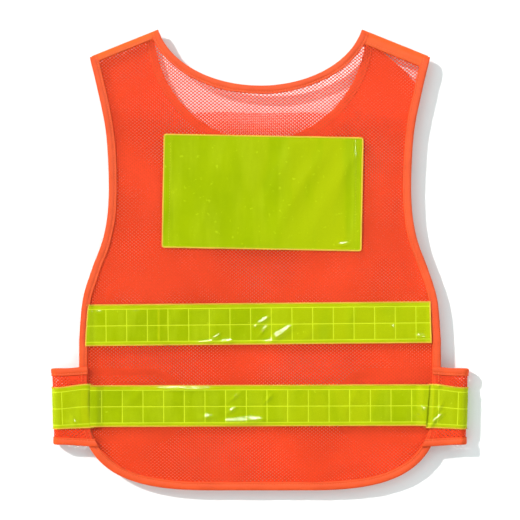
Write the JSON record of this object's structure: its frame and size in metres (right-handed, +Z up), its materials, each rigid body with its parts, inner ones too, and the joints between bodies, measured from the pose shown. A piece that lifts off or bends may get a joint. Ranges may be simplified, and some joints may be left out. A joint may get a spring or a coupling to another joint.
{
  "type": "high visibility vest",
  "caption": "Pull-over mesh safety vest lying flat, with bound edges, lattice tapes, a plain back patch and side straps that peel open.",
  "frame": {"origin": "centre of the vest's outline as it lies flat with its straps closed, on the surface that it lies on", "axes": "+Y from the hem to the neck, +Z up out of the back panel, +X to the wearer's right"},
  "size_m": [0.4984, 0.5533, 0.0168],
  "materials": {
    "orange_mesh": "matt knitted polyester mesh with small staggered holes, fluorescent red-orange",
    "orange_binding": "matt woven binding tape, folded over the edges and stitched, fluorescent red-orange",
    "lime_lattice_tape": "glossy coated tape embossed with a square lattice, fluorescent yellow-green",
    "lime_patch": "smooth coated cloth with a low sheen and an overlocked border, fluorescent yellow-green",
    "orange_hook_and_loop": "matt hook-and-loop pile, red-orange"
  },
  "bodies": {
    "vest": {"back_panel_mesh": "orange_mesh", "front_panel_mesh": "orange_mesh", "yoke_lining_mesh": "orange_mesh", "back_edge_binding": "orange_binding", "back_neck_binding": "orange_binding", "front_edge_binding": "orange_binding", "front_neck_binding": "orange_binding", "back_patch": "lime_patch", "back_upper_tape": "lime_lattice_tape", "back_lower_tape": "lime_lattice_tape", "front_upper_tape": "lime_lattice_tape", "front_lower_tape": "lime_lattice_tape", "left_shoulder_tape": "orange_binding", "right_shoulder_tape": "orange_binding", "left_loop_patch": "orange_hook_and_loop", "right_loop_patch": "orange_hook_and_loop", "left_strap_base_mesh": "orange_mesh", "left_strap_base_tape": "lime_lattice_tape", "left_strap_base_top_binding": "orange_binding", "left_strap_base_bottom_binding": "orange_binding", "right_strap_base_mesh": "orange_mesh", "right_strap_base_tape": "lime_lattice_tape", "right_strap_base_top_binding": "orange_binding", "right_strap_base_bottom_binding": "orange_binding"},
    "left_strap_end": {"left_strap_end_mesh": "orange_mesh", "left_strap_end_tape": "lime_lattice_tape", "left_strap_end_binding": "orange_binding", "left_hook_patch": "orange_hook_and_loop"},
    "right_strap_end": {"right_strap_end_mesh": "orange_mesh", "right_strap_end_tape": "lime_lattice_tape", "right_strap_end_binding": "orange_binding", "right_hook_patch": "orange_hook_and_loop"}
  },
  "joints": [
    {"name": "left_strap_fold", "type": "hinge", "parent": "vest", "child": "left_strap_end", "pos_m": [-0.2495, -0.176, 0.0084], "axis": [0, 1, 0], "range_deg": [0, 175]},
    {"name": "right_strap_fold", "type": "hinge", "parent": "vest", "child": "right_strap_end", "pos_m": [0.2495, -0.176, 0.0084], "axis": [0, -1, 0], "range_deg": [0, 175]}
  ]
}
